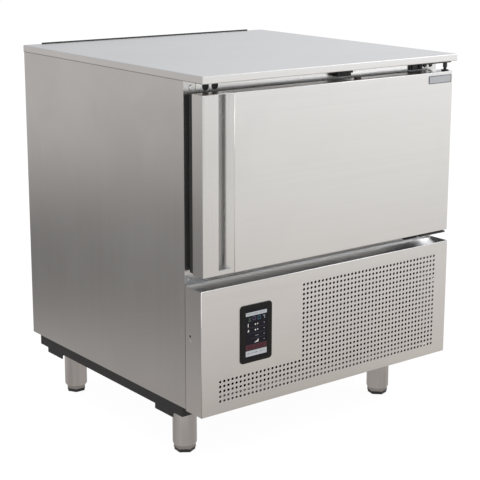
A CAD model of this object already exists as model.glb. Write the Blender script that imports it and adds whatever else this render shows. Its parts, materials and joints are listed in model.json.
import json
import math

import bmesh
import bpy
from mathutils import Matrix, Vector


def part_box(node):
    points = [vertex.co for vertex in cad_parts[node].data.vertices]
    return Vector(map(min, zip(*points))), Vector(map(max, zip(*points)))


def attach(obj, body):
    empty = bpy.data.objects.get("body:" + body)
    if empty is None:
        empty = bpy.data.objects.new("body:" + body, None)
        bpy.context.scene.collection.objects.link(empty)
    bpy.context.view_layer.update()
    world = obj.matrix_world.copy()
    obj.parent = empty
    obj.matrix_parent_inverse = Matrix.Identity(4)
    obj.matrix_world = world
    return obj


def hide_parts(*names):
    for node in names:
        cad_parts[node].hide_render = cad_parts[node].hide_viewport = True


# Blast chiller: the finish of its steel, plastics and inner parts, and its small
# fittings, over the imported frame. Metres, Z up, the door faces -Y.

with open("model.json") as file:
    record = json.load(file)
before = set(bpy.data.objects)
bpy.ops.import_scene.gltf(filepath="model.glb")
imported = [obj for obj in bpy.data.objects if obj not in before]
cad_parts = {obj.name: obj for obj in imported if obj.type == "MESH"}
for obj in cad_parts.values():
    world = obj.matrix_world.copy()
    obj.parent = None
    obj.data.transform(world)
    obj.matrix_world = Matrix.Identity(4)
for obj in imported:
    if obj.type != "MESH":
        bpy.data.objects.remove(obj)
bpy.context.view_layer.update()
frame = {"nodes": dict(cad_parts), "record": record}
nodes = frame["nodes"]
MM = 0.001


# ---------- node tools ----------

SORT_OF = {bool: "NodeSocketBool", int: "NodeSocketInt", float: "NodeSocketFloat", tuple: "NodeSocketVector"}


def colour(code):
    """Linear colour from a #RRGGBB code."""
    parts = [int(code[i:i + 2], 16) / 255 for i in (1, 3, 5)]
    return [p / 12.92 if p <= 0.04045 else ((p + 0.055) / 1.055) ** 2.4 for p in parts] + [1]


def shade(base, factor):
    return [min(1, c * factor) for c in base[:3]] + [1]


def add(tree, kind, settings=None, **inputs):
    """One node with its settings and inputs; a socket, or a list of sockets, is linked."""
    node = tree.nodes.new(kind)
    for key, value in (settings or {}).items():
        setattr(node, key, value)
    for key, value in inputs.items():
        numbered = key[0] == "i" and key[1:].isdigit()
        socket = node.inputs[int(key[1:]) if numbered else key.replace("_", " ")]
        if isinstance(value, bpy.types.NodeSocket):
            tree.links.new(value, socket)
        elif isinstance(value, list) and isinstance(value[0], bpy.types.NodeSocket):
            for part in value:
                tree.links.new(part, socket)
        else:
            socket.default_value = value
    return node


def calc(tree, operation, *values):
    """Result of one sum on numbers or sockets."""
    given = {"i%d" % i: value for i, value in enumerate(values)}
    return add(tree, "ShaderNodeMath", {"operation": operation}, **given).outputs[0]


def vector(tree, **parts):
    return add(tree, "ShaderNodeCombineXYZ", **parts).outputs[0]


def noise(tree, place, scale, detail, **more):
    return add(tree, "ShaderNodeTexNoise", Vector=place, Scale=scale, Detail=detail, **more).outputs["Fac"]


def on_object(tree):
    """Place on the piece, in the frame's own metres."""
    return add(tree, "ShaderNodeTexCoord").outputs["Object"]


def mixed(tree, fac, low, high):
    """Colour that goes from low to high with fac."""
    return add(tree, "ShaderNodeMix", {"data_type": "RGBA"}, i0=fac, i6=low, i7=high).outputs[2]


def ranged(tree, value, start, end, low=0.0, high=1.0, **settings):
    """Number that goes from start to end as value goes from low to high."""
    return add(tree, "ShaderNodeMapRange", settings, Value=value, From_Min=low, From_Max=high, To_Min=start,
               To_Max=end).outputs["Result"]


def ramped(tree, value, stops):
    """Colour along a ramp of positions and colours."""
    node = add(tree, "ShaderNodeValToRGB", Fac=value)
    elements = node.color_ramp.elements
    for i, (position, tone) in enumerate(stops):
        stop = elements[i] if i < 2 else elements.new(position)
        stop.position = position
        stop.color = (*tone, 1)
    return node.outputs["Color"]


def new_group(name, inputs, outputs, kind="ShaderNodeTree"):
    """An empty node group, its inputs, and the node that takes its results. A value gives its
    input's sort; an input or output without one is named after its sort."""
    tree = bpy.data.node_groups.new(name, kind)
    for label, value in inputs.items():
        sort = SORT_OF.get(type(value), "NodeSocket" + label)
        socket = tree.interface.new_socket(name=label, in_out="INPUT", socket_type=sort)
        if value is not None:
            socket.default_value = value
    for label in outputs:
        sort = "NodeSocketGeometry" if label == "Geometry" else "NodeSocketFloat"
        tree.interface.new_socket(name=label, in_out="OUTPUT", socket_type=sort)
    return tree, tree.nodes.new("NodeGroupInput").outputs, tree.nodes.new("NodeGroupOutput")


def handed_out(tree, result, **values):
    """Links the results to the group's outputs, and returns the group."""
    for label, value in values.items():
        tree.links.new(value, result.inputs[label])
    return tree


# ---------- camera and studio ----------

EYE = Vector((-2.0754, -2.7306, 1.3146))
EYE_RIGHT = Vector((0.78155869, -0.62379065, 0.00715754))
EYE_UP = Vector((0.13496571, 0.18028051, 0.97431165))
LENS_MM = 98.96
SENSOR_MM = 36
SHIFT = (-0.0598, -0.0625)

# what the steel mirrors of the floor: by distance, and in the dim part of the room
NEAR_FLOOR = ((0.02, (0.42, 0.385, 0.36)), (0.1, (0.66, 0.61, 0.57)), (1.0, (0.98, 0.97, 0.95)))
DIM_FLOOR = ((0.08, 0.31), (0.30, 0.20), (0.55, 0.18), (0.78, 0.42), (1.0, 0.62))
WARM = (1.03, 0.98, 0.95)
HORIZON = ((0.0, (0.80, 0.81, 0.83)), (0.7, (0.96, 0.97, 1)))


def make_camera():
    data = bpy.data.cameras.new("photo_camera")
    data.sensor_width = SENSOR_MM
    data.lens = LENS_MM
    data.shift_x, data.shift_y = SHIFT
    camera = bpy.data.objects.new("photo_camera", data)
    turned = Matrix((EYE_RIGHT, EYE_UP, EYE_RIGHT.cross(EYE_UP))).transposed()
    camera.matrix_world = Matrix.Translation(EYE) @ turned.to_4x4()
    bpy.context.scene.collection.objects.link(camera)
    bpy.context.scene.camera = camera


def make_lamp(name, place, aim, size, power, tint):
    data = bpy.data.lights.new(name, "AREA")
    data.shape = "SQUARE"
    data.size = size
    data.energy = power
    data.color = tint
    lamp = bpy.data.objects.new(name, data)
    lamp.location = place
    lamp.rotation_euler = (Vector(aim) - Vector(place)).to_track_quat("-Z", "Y").to_euler()
    bpy.context.scene.collection.objects.link(lamp)


def by_ray(tree, plain, mirrored, seen, output):
    """Shows one shader in plain light, one in reflections, and one to the camera."""
    path = add(tree, "ShaderNodeLightPath")
    glossy_mix = add(tree, "ShaderNodeMixShader", i0=path.outputs["Is Glossy Ray"], i1=plain.outputs[0],
                     i2=mirrored.outputs[0])
    camera_mix = add(tree, "ShaderNodeMixShader", i0=path.outputs["Is Camera Ray"],
                     i1=glossy_mix.outputs[0], i2=seen.outputs[0])
    add(tree, output, Surface=camera_mix.outputs[0])


def make_world():
    """White for the camera; for the metal a soft horizon that brightens upwards."""
    world = bpy.data.worlds.new("studio")
    bpy.context.scene.world = world
    world.use_nodes = True
    tree = world.node_tree
    tree.nodes.clear()
    place = add(tree, "ShaderNodeTexCoord")
    way = add(tree, "ShaderNodeSeparateXYZ", Vector=place.outputs["Generated"])
    mirrored = add(tree, "ShaderNodeBackground", Color=ramped(tree, way.outputs["Z"], HORIZON),
                   Strength=ranged(tree, way.outputs["X"], 0.67, 1.0, 0.35, 0.70))
    seen = add(tree, "ShaderNodeBackground", Color=(1, 1, 1, 1), Strength=1)
    lighting = add(tree, "ShaderNodeBackground", Color=(0.98, 0.99, 1, 1), Strength=0.62)
    by_ray(tree, lighting, mirrored, seen, "ShaderNodeOutputWorld")


def make_floor():
    """Pale floor: nearly white to the camera with a soft shadow, darker and warmer in
    the steel near the cabinet and on its left, where the room stands close."""
    reach = 40
    mesh = bpy.data.meshes.new("floor")
    corners = [(-reach, -reach, 0), (reach, -reach, 0), (reach, reach, 0), (-reach, reach, 0)]
    mesh.from_pydata(corners, [], [(0, 1, 2, 3)])
    floor = bpy.data.objects.new("floor", mesh)
    bpy.context.scene.collection.objects.link(floor)
    material = bpy.data.materials.new("pale_floor")
    material.use_nodes = True
    tree = material.node_tree
    tree.nodes.clear()
    place = on_object(tree)
    split = add(tree, "ShaderNodeSeparateXYZ", Vector=place)
    distance = add(tree, "ShaderNodeVectorMath", {"operation": "LENGTH"}, i0=place)
    metres = ranged(tree, distance.outputs["Value"], 0.0, 1.0, 0.5, 4.5)
    near = ramped(tree, metres, NEAR_FLOOR)
    dim = ramped(tree, metres, [(at, [tone * part for part in WARM]) for at, tone in DIM_FLOOR])
    soft = {"interpolation_type": "SMOOTHSTEP"}
    behind = calc(tree, "MULTIPLY", split.outputs["Y"], 0.45)
    left = ranged(tree, calc(tree, "SUBTRACT", split.outputs["X"], behind), 0.0, 1.0, -0.1, -1.4, **soft)
    right = ranged(tree, split.outputs["X"], 0.0, 0.7, 0.7, 1.6, **soft)
    beside = ranged(tree, split.outputs["Y"], 0.0, 1.0, -1.1, -0.25, **soft)
    walled = calc(tree, "MULTIPLY", calc(tree, "MAXIMUM", left, right), beside)
    mirrored = add(tree, "ShaderNodeEmission", Color=mixed(tree, walled, near, dim))
    paint = add(tree, "ShaderNodeBsdfDiffuse", Color=(0.9, 0.9, 0.9, 1))
    white = add(tree, "ShaderNodeEmission", Strength=1.10)
    seen = add(tree, "ShaderNodeMixShader", i0=0.87, i1=paint.outputs[0], i2=white.outputs[0])
    by_ray(tree, paint, mirrored, seen, "ShaderNodeOutputMaterial")
    mesh.materials.append(material)


bpy.context.scene.view_settings.view_transform = "Standard"
make_camera()
make_world()
make_floor()
make_lamp("softbox_above", (-0.6, -1.4, 3.0), (0, 0, 0.5), 2.2, 34, (1, 0.99, 0.97))
make_lamp("softbox_right", (2.4, -2.2, 1.8), (0, 0, 0.5), 1.6, 16, (0.97, 0.98, 1))


# ---------- effects shared by the materials ----------

def brushed_lines():
    """Fine grinding lines: the stretch is small along the lines and large across them."""
    tree, given, result = new_group("brushed_lines", {"Stretch": (2, 600, 600), "Broad Share": 0.4},
                                    ("Tone", "Height"))
    stretched = add(tree, "ShaderNodeVectorMath", {"operation": "MULTIPLY"}, i0=on_object(tree),
                    i1=given["Stretch"]).outputs[0]
    wide = add(tree, "ShaderNodeVectorMath", {"operation": "SCALE"}, i0=stretched, Scale=0.11).outputs[0]
    fine = noise(tree, stretched, 1.0, 3.0, Roughness=0.65)
    tone = add(tree, "ShaderNodeMix", {"data_type": "FLOAT"}, i0=given["Broad Share"], i2=fine,
               i3=noise(tree, wide, 1.0, 2.0))
    return handed_out(tree, result, Tone=tone.outputs[0], Height=fine)


def handling_haze():
    """Soft patches where hands and cloths have dulled the sheet."""
    tree, given, result = new_group("handling_haze", {"Patch Size": 0.2, "Amount": 0.5}, ("Mask",))
    patches = noise(tree, on_object(tree), calc(tree, "DIVIDE", 1.0, given["Patch Size"]), 4.0,
                    Roughness=0.55, Distortion=0.6)
    cut = ranged(tree, patches, 0.0, 1.0, 0.45, 0.75)
    return handed_out(tree, result, Mask=calc(tree, "MULTIPLY", cut, given["Amount"]))


def worn_edges():
    """White along the edges of a shape, broken up by noise."""
    tree, given, result = new_group("worn_edges", {"Width": 0.0015, "Amount": 0.6}, ("Mask",))
    true_face = add(tree, "ShaderNodeNewGeometry")
    rounded = add(tree, "ShaderNodeBevel", {"samples": 4}, Radius=given["Width"])
    likeness = add(tree, "ShaderNodeVectorMath", {"operation": "DOT_PRODUCT"},
                   i0=rounded.outputs["Normal"], i1=true_face.outputs["Normal"])
    edge = ranged(tree, likeness.outputs["Value"], 0.0, 1.0, 0.995, 0.85)
    broken = ranged(tree, noise(tree, on_object(tree), 90.0, 5.0), 0.0, 1.0, 0.35, 0.6)
    part = calc(tree, "MULTIPLY", edge, broken)
    return handed_out(tree, result, Mask=calc(tree, "MULTIPLY", part, given["Amount"]))


def moulded_grain():
    """Spark-eroded grain of a moulding, or the orange peel of paint when it is coarse."""
    tree, given, result = new_group("moulded_grain", {"Grain Size": 0.0008}, ("Tone", "Height"))
    place = on_object(tree)
    bumps = noise(tree, place, calc(tree, "DIVIDE", 1.0, given["Grain Size"]), 2.0)
    return handed_out(tree, result, Tone=noise(tree, place, 12.0, 4.0), Height=bumps)


def settled_dust():
    """More on faces that look up, in drifts."""
    tree, given, result = new_group("settled_dust", {"Amount": 0.5}, ("Mask",))
    face = add(tree, "ShaderNodeNewGeometry")
    split = add(tree, "ShaderNodeSeparateXYZ", Vector=face.outputs["Normal"])
    upward = ranged(tree, split.outputs["Z"], 0.0, 1.0, 0.1, 1.0)
    part = calc(tree, "MULTIPLY", upward, noise(tree, on_object(tree), 25.0, 6.0))
    return handed_out(tree, result, Mask=calc(tree, "MULTIPLY", part, given["Amount"]))


def pixel_grid():
    """Dots of a colour screen, as brightness from the dark lines to the lit dots."""
    tree, given, result = new_group("pixel_grid", {"Dots per Metre": 4500.0, "Line Tone": 0.7}, ("Tone",))
    place = on_object(tree)
    dots = add(tree, "ShaderNodeTexVoronoi", {"distance": "CHEBYCHEV"}, Vector=place,
               Scale=given["Dots per Metre"], Randomness=0.0)
    lit = ranged(tree, dots.outputs["Distance"], given["Line Tone"], 1.0, 0.5, 0.35)
    tone = calc(tree, "MULTIPLY_ADD", noise(tree, place, 140.0, 2.0), 0.25, lit)
    return handed_out(tree, result, Tone=tone)


BRUSHED = brushed_lines()
PIXELS = pixel_grid()
HAZE = handling_haze()
WORN = worn_edges()
GRAIN = moulded_grain()
DUST = settled_dust()


# ---------- materials ----------

def effect(tree, group, **inputs):
    return add(tree, "ShaderNodeGroup", {"node_tree": group}, **inputs).outputs


def cells(tree, place, scale):
    return add(tree, "ShaderNodeTexVoronoi", Vector=place, Scale=scale).outputs


def channels(tree, tone):
    return add(tree, "ShaderNodeSeparateColor", Color=tone).outputs


def bumped(tree, height, strength, distance):
    return add(tree, "ShaderNodeBump", Height=height, Strength=strength, Distance=distance).outputs["Normal"]


def finish_shader(name, **plain):
    """A new material whose shader has the plain values given; returns it, its tree, its shader."""
    material = bpy.data.materials.new(name)
    material.use_nodes = True
    shader = material.node_tree.nodes["Principled BSDF"]
    for label, value in plain.items():
        shader.inputs[label.replace("_", " ")].default_value = value
    return material, material.node_tree, shader


def coated(made, tone, gloss, relief):
    """Links colour, roughness and normal to the shader, and returns the material."""
    material, tree, shader = made
    for label, value in (("Base Color", tone), ("Roughness", gloss), ("Normal", relief)):
        tree.links.new(value, shader.inputs[label])
    return material


def brushed_steel(name, base, roughness, stretch, haze=0.5, tone=0.06, broad=0.4):
    """Ground stainless sheet: lines in tone and gloss, dulled patches, bright rubbed edges."""
    made = finish_shader(name, Metallic=1.0)
    tree = made[1]
    lines = effect(tree, BRUSHED, Stretch=stretch, Broad_Share=broad)
    patches = effect(tree, HAZE, Patch_Size=0.22, Amount=haze)["Mask"]
    edges = effect(tree, WORN, Width=0.0012, Amount=0.5)["Mask"]
    ground = mixed(tree, lines["Tone"], shade(base, 1 - tone), shade(base, 1 + tone))
    rubbed = mixed(tree, edges, mixed(tree, patches, ground, shade(base, 0.93)), shade(base, 1.15))
    gloss = ranged(tree, lines["Tone"], roughness - 0.07, roughness + 0.07)
    return coated(made, rubbed, calc(tree, "MULTIPLY_ADD", patches, 0.12, gloss),
                  bumped(tree, lines["Height"], 0.12, 0.0002))


def moulded_plastic(name, base, roughness, grain=0.0008, bump=0.25, wear=0.3, dust=0.2, **plain):
    """Plastic, rubber or paint: grained, a little paler on rubbed edges and under dust."""
    made = finish_shader(name, **plain)
    tree = made[1]
    skin = effect(tree, GRAIN, Grain_Size=grain)
    edges = effect(tree, WORN, Width=0.0008, Amount=wear)["Mask"]
    settled = effect(tree, DUST, Amount=dust)["Mask"]
    cloudy = mixed(tree, skin["Tone"], shade(base, 0.8), shade(base, 1.2))
    rubbed = mixed(tree, edges, cloudy, [c * 1.8 + 0.03 for c in base[:3]] + [1])
    return coated(made, mixed(tree, settled, rubbed, [0.32, 0.31, 0.29, 1]),
                  ranged(tree, skin["Tone"], roughness - 0.08, roughness + 0.1),
                  bumped(tree, skin["Height"], bump, grain * 0.3))


def zinc_sheet(name):
    """Galvanised sheet with its spangle."""
    made = finish_shader(name, Metallic=1.0)
    tree = made[1]
    flake = channels(tree, cells(tree, on_object(tree), 90.0)["Color"])
    haze = effect(tree, HAZE, Patch_Size=0.1, Amount=0.6)["Mask"]
    spangled = mixed(tree, flake["Red"], [0.46, 0.48, 0.50, 1], [0.66, 0.68, 0.70, 1])
    return coated(made, mixed(tree, haze, spangled, [0.54, 0.54, 0.53, 1]),
                  ranged(tree, flake["Green"], 0.34, 0.52), bumped(tree, flake["Red"], 0.08, 0.0002))


def rigid_foam(name):
    """Cut polyurethane foam: fine cells, uneven yellow."""
    made = finish_shader(name)
    tree = made[1]
    place = on_object(tree)
    clouds = noise(tree, place, 8.0, 5.0)
    return coated(made, mixed(tree, clouds, [0.72, 0.60, 0.32, 1], [0.86, 0.78, 0.50, 1]),
                  ranged(tree, clouds, 0.8, 0.95),
                  bumped(tree, cells(tree, place, 900.0)["Distance"], 0.5, 0.0004))


def raw_board(name):
    """Particle board: pale chips pressed flat."""
    made = finish_shader(name)
    tree = made[1]
    chips = cells(tree, on_object(tree), 260.0)
    chip = channels(tree, chips["Color"])
    return coated(made, mixed(tree, chip["Red"], [0.40, 0.27, 0.15, 1], [0.68, 0.52, 0.34, 1]),
                  ranged(tree, chip["Green"], 0.65, 0.9), bumped(tree, chips["Distance"], 0.3, 0.0005))


def circuit_board(name):
    """Green solder mask with its tracks, and tinned pads."""
    made = finish_shader(name)
    tree = made[1]
    place = on_object(tree)
    tracks = add(tree, "ShaderNodeTexBrick", {"offset": 0.5}, Vector=place, Scale=160.0,
                 Mortar_Size=0.03).outputs["Fac"]
    pad = calc(tree, "LESS_THAN", cells(tree, place, 320.0)["Distance"], 0.16)
    mask_green = mixed(tree, tracks, [0.01, 0.11, 0.05, 1], [0.02, 0.20, 0.09, 1])
    return coated(made, mixed(tree, pad, mask_green, [0.55, 0.56, 0.55, 1]),
                  ranged(tree, tracks, 0.25, 0.4), bumped(tree, tracks, 0.2, 0.0001))


def drawn_copper(name):
    """Copper tube, browned unevenly."""
    made = finish_shader(name, Metallic=1.0)
    tree = made[1]
    tarnish = noise(tree, on_object(tree), 30.0, 6.0)
    return coated(made, mixed(tree, tarnish, [0.86, 0.46, 0.28, 1], [0.34, 0.16, 0.09, 1]),
                  ranged(tree, tarnish, 0.2, 0.55), bumped(tree, tarnish, 0.1, 0.0002))


def thin_fins(name):
    """Rolled aluminium fins, oxidised in patches."""
    made = finish_shader(name, Metallic=1.0)
    tree = made[1]
    waves = add(tree, "ShaderNodeTexWave", {"bands_direction": "Z"}, Vector=on_object(tree), Scale=60.0)
    haze = effect(tree, HAZE, Patch_Size=0.06, Amount=0.8)["Mask"]
    return coated(made, mixed(tree, haze, [0.80, 0.81, 0.83, 1], [0.55, 0.56, 0.57, 1]),
                  ranged(tree, haze, 0.28, 0.5), bumped(tree, waves.outputs["Fac"], 0.2, 0.0003))


def shod_steel(name, base, sole, height):
    """Turned steel down to a dark moulded sole that is as high as given."""
    made = finish_shader(name)
    tree, shader = made[1:]
    split = add(tree, "ShaderNodeSeparateXYZ", Vector=on_object(tree))
    above = ranged(tree, split.outputs["Z"], 0.0, 1.0, height - 0.4 * MM, height + 0.4 * MM)
    lines = effect(tree, BRUSHED, Stretch=(20.0, 20.0, 900.0))["Tone"]
    skin = effect(tree, GRAIN, Grain_Size=0.0015)
    turned = mixed(tree, lines, shade(base, 0.75), shade(base, 1.2))
    moulded = mixed(tree, skin["Tone"], shade(sole, 0.8), shade(sole, 1.2))
    tree.links.new(above, shader.inputs["Metallic"])
    return coated(made, mixed(tree, above, moulded, turned), ranged(tree, lines, 0.28, 0.42),
                  bumped(tree, skin["Height"], 0.15, 0.0004))


def lit_mark(name, base):
    """A lit patch of the screen's picture, broken into its dots."""
    material, tree, shader = finish_shader(name, Roughness=0.3, Emission_Strength=1.0)
    dots = effect(tree, PIXELS, Line_Tone=0.72)["Tone"]
    for label, line, dot in (("Base Color", 0.1, 0.3), ("Emission Color", 0.3, 0.72)):
        tree.links.new(mixed(tree, dots, shade(base, line), shade(base, dot)), shader.inputs[label])
    return material


STEEL = [0.76, 0.757, 0.75, 1]
ALONG_X = (2.0, 700.0, 700.0)
ALONG_Y = (700.0, 2.0, 700.0)
ALONG_Z = (700.0, 700.0, 2.0)

# colour, roughness, way of the grinding lines, and what differs from the usual
GROUND_STEEL = {
    "worktop_steel": (STEEL, 0.30, ALONG_X, {"haze": 0.35}),
    "side_steel": (shade(STEEL, 0.92), 0.30, ALONG_Z, {}),
    "frame_steel": (STEEL, 0.26, ALONG_X, {}),
    "trough_steel": (shade(STEEL, 1.26), 0.34, ALONG_X, {}),
    "cell_steel": (STEEL, 0.22, ALONG_Y, {"tone": 0.03}),
    "front_steel": (STEEL, 0.30, ALONG_X, {}),
    "door_steel": (STEEL, 0.32, ALONG_X, {"haze": 0.4}),
    "handle_steel": (shade(STEEL, 0.94), 0.28, ALONG_Z, {"haze": 0.3}),
    "badge": ([0.46, 0.47, 0.49, 1], 0.38, ALONG_X, {"haze": 0.2}),
    "badge_rim": ([0.21, 0.22, 0.24, 1], 0.40, ALONG_X, {"haze": 0.2}),
    "wire": ([0.80, 0.80, 0.81, 1], 0.16, (60.0, 60.0, 60.0), {"tone": 0.03}),
    "rack_steel": (STEEL, 0.25, ALONG_Y, {}),
    "leg_steel": (shade(STEEL, 1.02), 0.20, (520.0, 520.0, 6.0), {"tone": 0.5, "broad": 0.8}),
    "screw_steel": ([0.70, 0.70, 0.70, 1], 0.22, (300.0, 300.0, 300.0), {}),
}

# colour, roughness, and what differs from the usual
MOULDED = {
    "breaker_plastic": ([0.09, 0.095, 0.10, 1], 0.5, {}),
    "black_paint": ([0.018, 0.018, 0.02, 1], 0.42, {"grain": 0.004, "bump": 0.1}),
    "black_gloss": ([0.008, 0.008, 0.008, 1], 0.3,
                    {"bump": 0.08, "wear": 0.2, "dust": 0.05, "Specular_IOR_Level": 0.2}),
    "display_glass": ([0.005, 0.005, 0.011, 1], 0.16,
                      {"bump": 0.02, "wear": 0.0, "dust": 0.05, "Specular_IOR_Level": 0.2}),
    "black_plastic": ([0.016, 0.016, 0.017, 1], 0.5, {}),
    "hinge_steel": ([0.05, 0.05, 0.052, 1], 0.4, {"grain": 0.002, "wear": 0.6, "Metallic": 0.6}),
    "seal_rubber": ([0.014, 0.014, 0.015, 1], 0.62, {"grain": 0.0012, "wear": 0.1}),
    "motor_paint": ([0.05, 0.05, 0.055, 1], 0.45, {"grain": 0.003}),
    "compressor_paint": ([0.012, 0.012, 0.013, 1], 0.28, {"grain": 0.006, "bump": 0.2}),
}

FINISH = {name: brushed_steel(name, *row[:3], **row[3]) for name, row in GROUND_STEEL.items()}
FINISH.update({name: moulded_plastic(name, *row[:2], **row[2]) for name, row in MOULDED.items()})
FINISH.update({name: make(name) for name, make in (
    ("core_board", raw_board), ("galvanised", zinc_sheet), ("foam", rigid_foam),
    ("circuit_board", circuit_board), ("fins", thin_fins), ("copper", drawn_copper))})
FINISH["foot_plastic"] = shod_steel("foot_plastic", [0.50, 0.49, 0.48, 1], [0.045, 0.045, 0.047, 1], 9 * MM)

SCREEN = {name: lit_mark("screen_" + name, colour(code)) for name, code in (
    ("pale", "#AEB2B5"), ("grey", "#7C8184"), ("white", "#D6D4D0"), ("dim", "#3C3947"),
    ("green", "#39453A"), ("violet", "#443B58"), ("teal", "#173F50"), ("night", "#16131F"),
    ("red", "#3C0E1E"), ("rose", "#68202F"))}

SLOT_OF = {row["node"]: row["material_slot"] for row in frame["record"]["subparts"]}
BODY_OF = {name: body for body, names in frame["record"]["behaviour"]["bodies"].items() for name in names}


# ---------- mesh tools ----------

WELD = 2e-6
TOUCH = 1e-5
FOLD = math.radians(28)


def merged(mesh, flat=True):
    """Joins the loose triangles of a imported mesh, and melts flat stretches together."""
    shape = bmesh.new()
    shape.from_mesh(mesh)
    bmesh.ops.remove_doubles(shape, verts=shape.verts, dist=WELD)
    if flat:
        bmesh.ops.dissolve_limit(shape, angle_limit=math.radians(0.5), verts=shape.verts,
                                 edges=shape.edges)
    bmesh.ops.recalc_face_normals(shape, faces=shape.faces)
    shape.to_mesh(mesh)
    shape.free()


def smooth(mesh, angle=32):
    mesh.polygons.foreach_set("use_smooth", [True] * len(mesh.polygons))
    mesh.set_sharp_from_angle(angle=math.radians(angle))


def placed(mesh, name, body, stands_for=()):
    """Links a finished mesh as a piece that rides on its body."""
    piece = bpy.data.objects.new(name, mesh)
    bpy.context.scene.collection.objects.link(piece)
    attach(piece, body)
    if stands_for:
        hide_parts(*stands_for)
    return piece


def touches(value, *levels):
    """True where a coordinate lies on one of the levels."""
    return any(abs(value - level) < TOUCH for level in levels)


def weigh_edges(mesh, pick):
    """Full bevel weight on every sharp edge that pick accepts."""
    shape = bmesh.new()
    shape.from_mesh(mesh)
    layer = shape.edges.layers.float.new("bevel_weight_edge")
    for edge in shape.edges:
        if len(edge.link_faces) == 2 and edge.calc_face_angle(0) > FOLD:
            edge[layer] = 1 if pick(edge) else 0
    shape.to_mesh(mesh)
    shape.free()


def dressed(node, width, segments=2, pick=None, flat=True, crease=32):
    """A node's own shape with rounded edges and its finish, in place of the node."""
    mesh = nodes[node].data.copy()
    mesh.name = node + "_piece"
    merged(mesh, flat)
    if pick:
        weigh_edges(mesh, pick)
    smooth(mesh, crease)
    mesh.materials.clear()
    mesh.materials.append(FINISH[SLOT_OF[node]])
    piece = placed(mesh, mesh.name, BODY_OF[node], (node,))
    if width:
        bevel = piece.modifiers.new("rounded_edges", "BEVEL")
        bevel.width = width
        bevel.segments = segments
        bevel.limit_method = "WEIGHT" if pick else "ANGLE"
        bevel.angle_limit = FOLD
        bevel.use_clamp_overlap = not pick
        bevel.miter_outer = "MITER_ARC"
    even = piece.modifiers.new("even_faces", "WEIGHTED_NORMAL")
    even.keep_sharp = True
    return piece


def lofted(rings, closed_start=True, closed_end=True):
    """Faces between rings of points that all have the same count, with caps at the ends."""
    count = len(rings[0])
    points = [p for ring in rings for p in ring]
    faces = []
    for i in range(len(rings) - 1):
        for j in range(count):
            k = (j + 1) % count
            faces.append((i * count + j, i * count + k, (i + 1) * count + k, (i + 1) * count + j))
    if closed_start:
        faces.append(tuple(range(count))[::-1])
    if closed_end:
        faces.append(tuple(range((len(rings) - 1) * count, len(rings) * count)))
    mesh = bpy.data.meshes.new("loft")
    mesh.from_pydata(points, [], faces)
    shape = bmesh.new()
    shape.from_mesh(mesh)
    bmesh.ops.recalc_face_normals(shape, faces=shape.faces)
    shape.to_mesh(mesh)
    shape.free()
    return mesh


def plate_ring(middle, width, height, corner, y, steps=6):
    """Outline of a round-cornered plate that faces the door side, at one depth."""
    ring = []
    for sx, sz, start in ((1, 1, 0), (-1, 1, 90), (-1, -1, 180), (1, -1, 270)):
        for i in range(steps + 1):
            turn = math.radians(start + 90 * i / steps)
            ring.append((middle.x + sx * (width / 2 - corner) + corner * math.cos(turn), y,
                         middle.z + sz * (height / 2 - corner) + corner * math.sin(turn)))
    return ring


def round_ring(x, z, radius, y, steps=32):
    """Circle that faces the door side, at one depth."""
    turns = [2 * math.pi * i / steps for i in range(steps)]
    return [(x + radius * math.cos(t), y, z + radius * math.sin(t)) for t in turns]


def centre(node):
    low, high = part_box(node)
    return (low + high) / 2


def islands(node):
    """Middle of the box of every separate solid in a node."""
    shape = bmesh.new()
    shape.from_mesh(nodes[node].data)
    bmesh.ops.remove_doubles(shape, verts=shape.verts, dist=WELD)
    left = set(shape.verts)
    middles = []
    while left:
        open_verts = [left.pop()]
        found = []
        while open_verts:
            vert = open_verts.pop()
            found.append(vert.co.copy())
            for edge in vert.link_edges:
                other = edge.other_vert(vert)
                if other in left:
                    left.remove(other)
                    open_verts.append(other)
        low = Vector([min(co[i] for co in found) for i in range(3)])
        high = Vector([max(co[i] for co in found) for i in range(3)])
        middles.append((low + high) / 2)
    shape.free()
    return middles


# ---------- geometry node trees ----------

def grown(name, tree, body, slot, values, points=(), stands_for=()):
    """What a geometry tree makes from these points and values, kept as a plain mesh."""
    seed = bpy.data.meshes.new(name + "_seed")
    seed.from_pydata([p for p, facing in points], [], [])
    if points:
        facing = seed.attributes.new("facing", "FLOAT_VECTOR", "POINT")
        facing.data.foreach_set("vector", [c for p, way in points for c in way])
    host = bpy.data.objects.new(name + "_seed", seed)
    bpy.context.scene.collection.objects.link(host)
    grow = host.modifiers.new("grow", "NODES")
    grow.node_group = tree
    values = dict(values, Material=FINISH[slot])
    for item in tree.interface.items_tree:
        if item.in_out == "INPUT" and item.name in values:
            grow[item.identifier] = values[item.name]
    graph = bpy.context.evaluated_depsgraph_get()
    mesh = bpy.data.meshes.new_from_object(host.evaluated_get(graph), depsgraph=graph)
    bpy.data.objects.remove(host)
    mesh.name = name
    smooth(mesh, 40)
    return placed(mesh, name, body, stands_for)


def finished(tree, result, geometry, material):
    """Realize, set the material, and hand the geometry out."""
    real = add(tree, "GeometryNodeRealizeInstances", Geometry=geometry)
    painted = add(tree, "GeometryNodeSetMaterial", Geometry=real.outputs[0], Material=material)
    return handed_out(tree, result, Geometry=painted.outputs[0])


def moved(tree, geometry, offset=(0, 0, 0), turn=(0, 0, 0)):
    return add(tree, "GeometryNodeTransform", Geometry=geometry, Translation=offset,
               Rotation=turn).outputs[0]


def joined(tree, parts):
    return add(tree, "GeometryNodeJoinGeometry", i0=parts).outputs[0]


def circle(tree, radius, steps):
    return add(tree, "GeometryNodeCurvePrimitiveCircle", Resolution=steps, Radius=radius).outputs[0]


def tube(tree, path, section, **more):
    return add(tree, "GeometryNodeCurveToMesh", Curve=path, Profile_Curve=section, **more).outputs[0]


def cube(tree, **sides):
    return add(tree, "GeometryNodeMeshCube", Size=vector(tree, **sides)).outputs[0]


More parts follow.
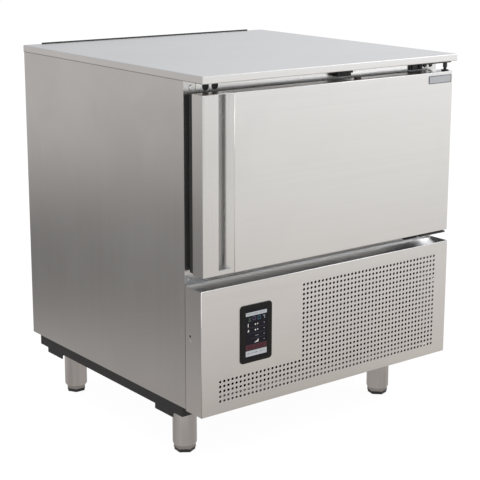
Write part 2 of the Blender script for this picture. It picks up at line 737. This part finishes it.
def on_points(tree, points, piece, **spread):
    return add(tree, "GeometryNodeInstanceOnPoints", Points=points, Instance=piece, **spread).outputs[0]


def fastener_tree():
    """Chamfered round heads with a cross or a many-sided recess, one on each point."""
    tree, given, result = new_group(
        "fasteners",
        {"Geometry": None, "Head Radius": 0.006, "Head Height": 0.002, "Recess Radius": 0.003,
         "Recess Sides": 6, "Cross": False, "Material": None}, ("Geometry",), "GeometryNodeTree")
    radius, height, recess = given["Head Radius"], given["Head Height"], given["Recess Radius"]
    head = add(tree, "GeometryNodeMeshCone", Vertices=24, Radius_Top=calc(tree, "MULTIPLY", radius, 0.8),
               Radius_Bottom=radius, Depth=height)
    socket = add(tree, "GeometryNodeMeshCylinder", Vertices=given["Recess Sides"], Radius=recess,
                 Depth=height)
    bar = cube(tree, X=calc(tree, "MULTIPLY", recess, 2.0), Y=calc(tree, "MULTIPLY", recess, 0.45),
               Z=height)
    cross = add(tree, "GeometryNodeMeshBoolean", {"operation": "UNION", "solver": "EXACT"},
                Mesh_2=[bar, moved(tree, bar, turn=(0, 0, math.pi / 2))])
    chosen = add(tree, "GeometryNodeSwitch", {"input_type": "GEOMETRY"}, Switch=given["Cross"],
                 i1=socket.outputs[0], i2=cross.outputs[0])
    tool = moved(tree, chosen.outputs[0], vector(tree, Z=height))
    cut = add(tree, "GeometryNodeMeshBoolean", {"operation": "DIFFERENCE", "solver": "EXACT"},
              i0=head.outputs[0], Mesh_2=tool)
    facing = add(tree, "GeometryNodeInputNamedAttribute", {"data_type": "FLOAT_VECTOR"}, Name="facing")
    turned = add(tree, "FunctionNodeAlignRotationToVector", {"axis": "Z"},
                 Vector=facing.outputs["Attribute"])
    laid = on_points(tree, given["Geometry"], cut.outputs[0], Rotation=turned.outputs[0])
    return finished(tree, result, laid, given["Material"])


def rim_tree():
    """Small rolled rims round the holes of two square fields, side by side."""
    tree, given, result = new_group(
        "punched_rims",
        {"First Hole": (0, 0, 0), "Pitch": 0.012, "Low Columns": 21, "Low Rows": 5,
         "Tall Columns": 38, "Tall Rows": 21, "Hole Radius": 0.0035, "Rim": 0.0002,
         "Material": None}, ("Geometry",), "GeometryNodeTree")
    pitch = given["Pitch"]
    rim = tube(tree, circle(tree, given["Hole Radius"], 12), circle(tree, given["Rim"], 4))
    shift = calc(tree, "MULTIPLY", given["Low Columns"], pitch)
    fields = []
    for field in ("Low", "Tall"):
        counts = [given[field + " Columns"], given[field + " Rows"]]
        sides = [calc(tree, "MULTIPLY", calc(tree, "SUBTRACT", count, 1.0), pitch) for count in counts]
        grid = add(tree, "GeometryNodeMeshGrid", Size_X=sides[0], Size_Y=sides[1],
                   Vertices_X=counts[0], Vertices_Y=counts[1])
        across, up = [calc(tree, "MULTIPLY", side, 0.5) for side in sides]
        if field == "Tall":
            across = calc(tree, "ADD", across, shift)
        laid = moved(tree, grid.outputs[0], vector(tree, X=across, Y=up))
        fields.append(on_points(tree, laid, rim))
    upright = moved(tree, joined(tree, fields), given["First Hole"], (math.pi / 2, 0, 0))
    return finished(tree, result, upright, given["Material"])


def gasket_tree():
    """Snap-in foot, two thin lips and the magnetic bulb of a door gasket, round a rectangle."""
    tree, given, result = new_group(
        "door_gasket",
        {"Width": 0.7, "Height": 0.4, "Band": 0.014, "Depth": 0.0117, "Bulb Radius": 0.0042,
         "Middle": (0, 0, 0), "Material": None}, ("Geometry",), "GeometryNodeTree")
    width, height, band = given["Width"], given["Height"], given["Band"]
    depth, bulb = given["Depth"], given["Bulb Radius"]

    def less(value, part, times):
        """value - part * times"""
        return calc(tree, "MULTIPLY_ADD", part, -times, value)

    def lifted(geometry, by):
        return moved(tree, geometry, vector(tree, Z=by))

    parts = []
    # share of the band that the strand lies in from the outer edge, its size, its depth
    for inset, size, forward in ((1.0, 1.0, 1.0), (0.36, 0.45, 0.62), (1.64, 0.45, 0.62)):
        path = add(tree, "GeometryNodeCurvePrimitiveQuadrilateral", Width=less(width, band, inset),
                   Height=less(height, band, inset))
        soft = add(tree, "GeometryNodeFilletCurve", {"mode": "POLY"}, Curve=path.outputs[0], Count=4,
                   Radius=bulb)
        section = circle(tree, calc(tree, "MULTIPLY", bulb, size), 12)
        reach = calc(tree, "MULTIPLY", less(depth, bulb, 1.0), forward)
        parts.append(lifted(tube(tree, soft.outputs[0], section), reach))
    foot = calc(tree, "MULTIPLY", depth, 0.36)
    slab = cube(tree, X=width, Y=height, Z=foot)
    hole = cube(tree, X=less(width, band, 2), Y=less(height, band, 2), Z=1.0)
    frame_foot = add(tree, "GeometryNodeMeshBoolean", {"operation": "DIFFERENCE"}, i0=slab, Mesh_2=hole)
    parts.append(lifted(frame_foot.outputs[0], calc(tree, "MULTIPLY", foot, 0.5)))
    upright = moved(tree, joined(tree, parts), given["Middle"], (-math.pi / 2, 0, 0))
    return finished(tree, result, upright, given["Material"])


def guard_tree():
    """Round wires of a fan guard: rings, spokes, and short posts that reach the sheet."""
    tree, given, result = new_group(
        "wire_guard",
        {"Inner Radius": 0.02, "Step": 0.018, "Rings": 7, "Wire": 0.0025, "Spokes": 8,
         "Reach": 0.139, "Posts": 4, "Post Length": 0.007, "Middle": (0, 0, 0), "Material": None},
        ("Geometry",), "GeometryNodeTree")
    index = add(tree, "GeometryNodeInputIndex").outputs[0]
    section = circle(tree, calc(tree, "MULTIPLY", given["Wire"], 0.5), 8)
    parts = []

    def wires(count, curve, lift=(0, 0, 0), **spread):
        """count copies of a curve, spread by index, made into round wire."""
        points = add(tree, "GeometryNodeMeshLine", Count=count, Offset=(0, 0, 0))
        copies = on_points(tree, points.outputs[0], curve, **spread)
        real = add(tree, "GeometryNodeRealizeInstances", Geometry=copies)
        even = add(tree, "GeometryNodeSetCurveRadius", Curve=real.outputs[0], Radius=1.0)
        parts.append(moved(tree, tube(tree, even.outputs[0], section, Fill_Caps=True), lift))

    def turned_by(count, start):
        """Turn about Z that shares out a full round by index."""
        share = calc(tree, "DIVIDE", 2 * math.pi, count)
        return vector(tree, Z=calc(tree, "MULTIPLY_ADD", index, share, start))

    def line(start, end):
        return add(tree, "GeometryNodeCurvePrimitiveLine", Start=start, End=end).outputs[0]

    radius = calc(tree, "MULTIPLY_ADD", index, given["Step"], given["Inner Radius"])
    wires(given["Rings"], circle(tree, 1.0, 64), Scale=radius)
    hub = 0.012
    back = vector(tree, Z=calc(tree, "MULTIPLY", given["Wire"], -0.9))
    wires(given["Spokes"], line((hub, 0, 0), vector(tree, X=given["Reach"])), back,
          Rotation=turned_by(given["Spokes"], 0.0))
    near = calc(tree, "SUBTRACT", given["Reach"], 0.004)
    depth = calc(tree, "MULTIPLY", given["Post Length"], -1.0)
    wires(given["Posts"], line(vector(tree, X=near), vector(tree, X=near, Z=depth)),
          Rotation=turned_by(given["Posts"], math.pi / 4))
    upright = moved(tree, joined(tree, parts), given["Middle"], (math.pi / 2, 0, 0))
    return finished(tree, result, upright, given["Material"])


# ---------- outer casing ----------

# the hinges' bolts: from the plate's left edge, and under its upper edge
BOLT_ACROSS = (12 * MM, 38 * MM)
UPPER_BOLT_DOWN = 15.5 * MM
LOWER_BOLT_DOWN = 28.5 * MM
HINGE_PLATE = 4 * MM


def make_casing():
    low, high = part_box("worktop")

    def on_outside(edge):
        """True on the worktop's outer folds."""
        return all(touches(v.co.x, low.x, high.x) or touches(v.co.y, low.y, high.y) for v in edge.verts)

    panel_low, panel_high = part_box("front_panel")

    def on_panel_rim(edge):
        """True where the panel's front face is folded back."""
        middle = (edge.verts[0].co + edge.verts[1].co) / 2
        return touches(middle.y, panel_low.y) and (touches(middle.x, panel_low.x, panel_high.x)
                                                   or touches(middle.z, panel_low.z, panel_high.z))

    dressed("worktop", 1.8 * MM, 3, pick=on_outside)
    dressed("base_frame", 1.2 * MM, 3)
    dressed("front_panel", 1.0 * MM, 2, pick=on_panel_rim, flat=False)
    for node in ("left_side_panel", "right_side_panel", "front_frame", "sill_trough", "leg_tubes"):
        dressed(node, 0.35 * MM)
    for node in ("rear_strip", "foot_brackets", "spare_hinge_plate", "foot_front_left",
                 "foot_front_right", "foot_rear_left", "foot_rear_right"):
        dressed(node, 0.7 * MM)


def make_screws(fasteners):
    """Cross-head screws in the flanges, black ones beside the upper hinge as in the photo."""
    low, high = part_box("casing_screws")
    hinge_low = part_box("upper_hinge")[0]
    head, recess = 2.2 * MM, 3.4 * MM
    bright, black = [], []
    for middle in islands("casing_screws"):
        front = middle.y < 0
        y = low.y + head if front else high.y - head
        by_hinge = front and middle.x > hinge_low.x and middle.z > hinge_low.z
        (black if by_hinge else bright).append(((middle.x, y, middle.z), (0, -1 if front else 1, 0)))
    for name, slot, places in (("casing_screw_heads", "screw_steel", bright),
                               ("hinge_side_screw_heads", "hinge_steel", black)):
        grown(name, fasteners, "cabinet", slot,
              {"Head Radius": 6.4 * MM, "Head Height": head, "Recess Radius": recess, "Cross": True},
              places, ("casing_screws",))


def make_spare_plugs():
    """Sunk cups that close the two spare hinge holes on the handle side."""
    low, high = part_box("upper_hinge")
    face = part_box("front_frame")[0].y
    bolt_z = high.z - UPPER_BOLT_DOWN
    # radius and depth of the cup's turns, in mm
    profile = ((9.3, 1.0), (9.3, 0.3), (8.8, 0.1), (7.7, 0.3), (7.1, 2.6), (2.4, 3.0), (2.0, 6.0))
    for number, across in enumerate(BOLT_ACROSS):
        mesh = lofted([round_ring(-(low.x + across), bolt_z, radius * MM, face + depth * MM)
                       for radius, depth in profile])
        mesh.materials.append(FINISH["black_plastic"])
        smooth(mesh)
        placed(mesh, "spare_hole_plug_%d" % (number + 1), "cabinet")


def make_hinges(fasteners):
    """Both hinges with socket heads on their bolts."""
    for node in ("upper_hinge", "lower_hinge"):
        dressed(node, 0.35 * MM)
    places = []
    low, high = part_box("upper_hinge")
    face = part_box("front_frame")[0].y
    for z in (high.z - UPPER_BOLT_DOWN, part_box("lower_hinge")[1].z - LOWER_BOLT_DOWN):
        for across in BOLT_ACROSS:
            places.append(((low.x + across, face - HINGE_PLATE, z), (0, -1, 0)))
    grown("hinge_bolt_heads", fasteners, "cabinet", "hinge_steel",
          {"Head Radius": 6.2 * MM, "Head Height": 3.2 * MM, "Recess Radius": 2.9 * MM, "Recess Sides": 6},
          places)


# ---------- door ----------

def make_door():
    low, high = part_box("door_skin")

    def on_front_rim(edge):
        """True on the upper, lower and hinge-side edges of the door's front."""
        return all(v.co.y < low.y + TOUCH and (touches(v.co.z, low.z, high.z) or touches(v.co.x, high.x))
                   for v in edge.verts)

    def on_handle_end(edge):
        """True on the grip's upper and lower front edges."""
        front, longest = low.y + 5.9 * MM, 5 * MM
        start, end = edge.verts
        return abs(start.co.y - end.co.y) < longest and all(
            v.co.y < front and touches(v.co.z, low.z, high.z) for v in (start, end))

    dressed("door_skin", 1.4 * MM, 3, pick=on_front_rim)
    dressed("door_handle", 0.9 * MM, 2, pick=on_handle_end, crease=20)
    dressed("door_inner_frame", 1.2 * MM, 3)
    dressed("door_inner_panel", 0.3 * MM)
    dressed("door_magnet", 0.6 * MM)
    plate_width = 63.5 * MM
    plate_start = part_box("door_switch")[1].x - plate_width
    switch = dressed("door_switch", 0.5 * MM).data
    switch.materials.append(FINISH["frame_steel"])
    for polygon in switch.polygons:
        polygon.material_index = 1 if polygon.center.x > plate_start else 0
    dressed("door_bushes", 0.3 * MM)


def make_gasket():
    low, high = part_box("door_seal")
    middle = (low + high) / 2
    grown("door_gasket", gasket_tree(), "door", "seal_rubber",
          {"Width": high.x - low.x, "Height": high.z - low.z, "Depth": high.y - low.y,
           "Middle": (middle.x, low.y, middle.z)}, stands_for=("door_seal",))


def make_badge():
    """Bare badge: a raised rim round a sunk satin field."""
    low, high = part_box("badge_plate")
    middle = centre("badge_plate")
    width, height = high.x - low.x, high.z - low.z
    front = low.y
    rings = []
    for inset, y in ((0, high.y), (0, front + 0.3 * MM), (0.3 * MM, front), (1.8 * MM, front),
                     (2.1 * MM, front + 0.5 * MM)):
        rings.append(plate_ring(middle, width - 2 * inset, height - 2 * inset,
                                max(0.5 * MM, 2.2 * MM - inset), y))
    mesh = lofted(rings)
    mesh.materials.append(FINISH["badge"])
    mesh.materials.append(FINISH["badge_rim"])
    last = len(mesh.polygons) - 1
    for polygon in mesh.polygons:
        polygon.material_index = 0 if polygon.index == last else 1
    smooth(mesh)
    placed(mesh, "badge_plate_piece", "door", ("badge_plate",))


# ---------- display ----------

def make_display():
    """Soft-edged surround, glass, and the picture on it."""
    low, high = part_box("display_bezel")
    middle = centre("display_bezel")
    glass_low, glass_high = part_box("display_glass")
    width, height, corner = high.x - low.x, high.z - low.z, 9 * MM
    play = 0.4 * MM
    hole_w = glass_high.x - glass_low.x + play
    hole_h = glass_high.z - glass_low.z + play
    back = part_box("front_panel")[0].y
    rings = [plate_ring(middle, width - 2 * inset, height - 2 * inset, corner - inset, y) for inset, y in (
        (0, back), (0, low.y + 1.2 * MM), (0.35 * MM, low.y + 0.35 * MM), (1.2 * MM, low.y),
        (5.0 * MM, low.y))]
    rings += [plate_ring(middle, hole_w, hole_h, 2.2 * MM, y) for y in (low.y + 0.1 * MM, back)]
    mesh = lofted(rings, closed_start=False, closed_end=False)
    mesh.materials.append(FINISH["black_gloss"])
    smooth(mesh)
    placed(mesh, "display_surround", "cabinet", ("display_bezel",))
    dressed("display_glass", 0.3 * MM)


def make_picture():
    """Bars, round and square signs, rules and a ramp, as thin marks on the glass."""
    low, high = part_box("display_glass")
    skin = 0.04 * MM
    top = high.z - 6.3 * MM
    verts, faces, kinds = [], [], []

    def mark(kind, outline):
        """One flat mark; the outline runs across and down from the picture's top left corner."""
        start = len(verts)
        verts.extend((low.x + across * MM, low.y - skin, top - down * MM) for across, down in outline)
        faces.append(tuple(range(start, len(verts))))
        kinds.append(kind)

    def bar(kind, across, down, width, height):
        mark(kind, [(across, down + height), (across + width, down + height), (across + width, down),
                    (across, down)])

    def disc(kind, across, down, radius, hole=0.0):
        """Disc, or a ring of short bars if it has a hole."""
        steps = 18
        turns = [2 * math.pi * i / steps for i in range(steps + 1)]
        for a, b in zip(turns, turns[1:]):
            mark(kind, [(across + hole * math.cos(a), down - hole * math.sin(a)),
                        (across + radius * math.cos(a), down - radius * math.sin(a)),
                        (across + radius * math.cos(b), down - radius * math.sin(b)),
                        (across + hole * math.cos(b), down - hole * math.sin(b))])

    full = (high.x - low.x) / MM
    bar("pale", 0.6, 0, full - 1.2, 8.8)
    bar("pale", 0.6, 94.3, full - 1.2, 13.8)
    for across, width in ((4, 9), (16, 5), (24, 13), (42, 7), (52, 6)):
        bar("grey", across, 3.6, width, 1.4)
        bar("grey", across + 1, 99.5, width * 0.8, 2.2)
    disc("green", 12, 15.5, 2.6)
    bar("green", 7.5, 19.2, 9, 3.2)
    disc("violet", 25.5, 16, 5.4, 3.6)
    bar("teal", 35.5, 11.2, 9.6, 10.2)
    disc("night", 40.3, 16.3, 3.0)
    bar("grey", 51.5, 12.5, 6.5, 2.2)
    bar("grey", 55.5, 12.5, 2.5, 8.5)
    bar("white", 6.6, 27, 2.0, 8.5)
    mark("white", [(5.5, 48.5), (11, 46.2), (8.6, 41.0)])
    for down in (31.5, 45.3):
        disc("white", 29.3, down, 2.0)
        disc("white", 35.8, down - 0.6, 1.7)
    bar("grey", 29, 58.4, 10, 1.6)
    mark("white", [(25.5, 76.5), (38.5, 75.5), (38.5, 67.5), (35.5, 71.5)])
    for down in (31.5, 45.5, 58.8, 72.2):
        disc("white", 55.5, down, 0.9)
    for down, start in ((38.3, 14), (52.0, 9), (64.8, 16)):
        bar("dim", start, down, 57 - start, 0.6)
    bar("red", 0.6, 79.5, 30.2, 13.6)
    bar("red", 32.0, 79.5, full - 32.6, 13.6)
    for across in (5, 37):
        bar("rose", across, 84.2, 20, 1.2)
        bar("rose", across + 2, 88.4, 16, 1.0)
    mesh = bpy.data.meshes.new("display_picture")
    mesh.from_pydata(verts, [], faces)
    names = sorted(set(kinds))
    for name in names:
        mesh.materials.append(SCREEN[name])
    for polygon, kind in zip(mesh.polygons, kinds):
        polygon.material_index = names.index(kind)
    placed(mesh, "display_picture", "cabinet")


# ---------- perforation, guard, rivets ----------

def make_rims():
    """A rolled rim round every hole of the front panel."""
    low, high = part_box("front_panel")
    first_across, first_up, proud = 53.2 * MM, 30.4 * MM, 0.01 * MM
    first = (low.x + first_across, low.y - proud, low.z + first_up)
    grown("punched_rims", rim_tree(), "cabinet", "front_steel",
          {"First Hole": first, "Hole Radius": 3.6 * MM, "Rim": 0.14 * MM})


def make_guard():
    low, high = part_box("evaporator_fan_guard")
    middle = centre("evaporator_fan_guard")
    half_wire = 1.25 * MM
    grown("fan_guard_wires", guard_tree(), "cabinet", "wire",
          {"Middle": (middle.x, low.y + half_wire, middle.z)}, stands_for=("evaporator_fan_guard",))


def make_rivets(fasteners):
    """Blind rivets down both edges of the fan cover, and the one in the front panel's return."""
    places = []
    low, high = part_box("evaporator_cover")
    fan_cover_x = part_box("evaporator_coil")[1].x
    rows, inset, margin = 5, 8 * MM, 14 * MM
    for side in (-1, 1):
        for i in range(rows):
            z = low.z + margin + i * (high.z - low.z - 2 * margin) / (rows - 1)
            places.append(((side * (fan_cover_x - inset), low.y, z), (0, -1, 0)))
    grown("cover_rivets", fasteners, "cabinet", "screw_steel",
          {"Head Radius": 3.2 * MM, "Head Height": 1.1 * MM, "Recess Radius": 1.1 * MM, "Recess Sides": 12},
          places)
    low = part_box("front_panel")[0]
    behind, above = 45 * MM, 176 * MM
    grown("panel_return_rivet", fasteners, "cabinet", "screw_steel",
          {"Head Radius": 4.2 * MM, "Head Height": 0.9 * MM, "Recess Radius": 0.6 * MM, "Recess Sides": 12},
          [((low.x, low.y + behind, low.z + above), (-1, 0, 0))])


def make_inside():
    """Everything behind the outer skin, each node with its own softened edges."""
    for node in ("worktop_core", "mouth_frame", "cell_liner", "insulation", "cell_underpan",
                 "deck_pan", "back_panel", "evaporator_cover", "tray_rack_left", "tray_rack_right",
                 "condenser_shroud", "electrical_box", "door_foam"):
        dressed(node, 0.3 * MM)
    for node in ("drain_pipe", "cable_gland", "core_probe", "compressor", "compressor_mounts",
                 "liquid_receiver", "filter_drier", "evaporator_fan_motor", "condenser_fan_motor",
                 "evaporator_fan_rotor", "condenser_fan_rotor", "power_board", "display_board"):
        dressed(node, 0.4 * MM)
    for node in ("evaporator_coil", "condenser_coil", "pipework", "rear_grille"):
        dressed(node, 0)


make_casing()
FASTENERS = fastener_tree()
make_screws(FASTENERS)
make_spare_plugs()
make_hinges(FASTENERS)
make_door()
make_gasket()
make_badge()
make_display()
make_picture()
make_rims()
make_guard()
make_rivets(FASTENERS)
make_inside()
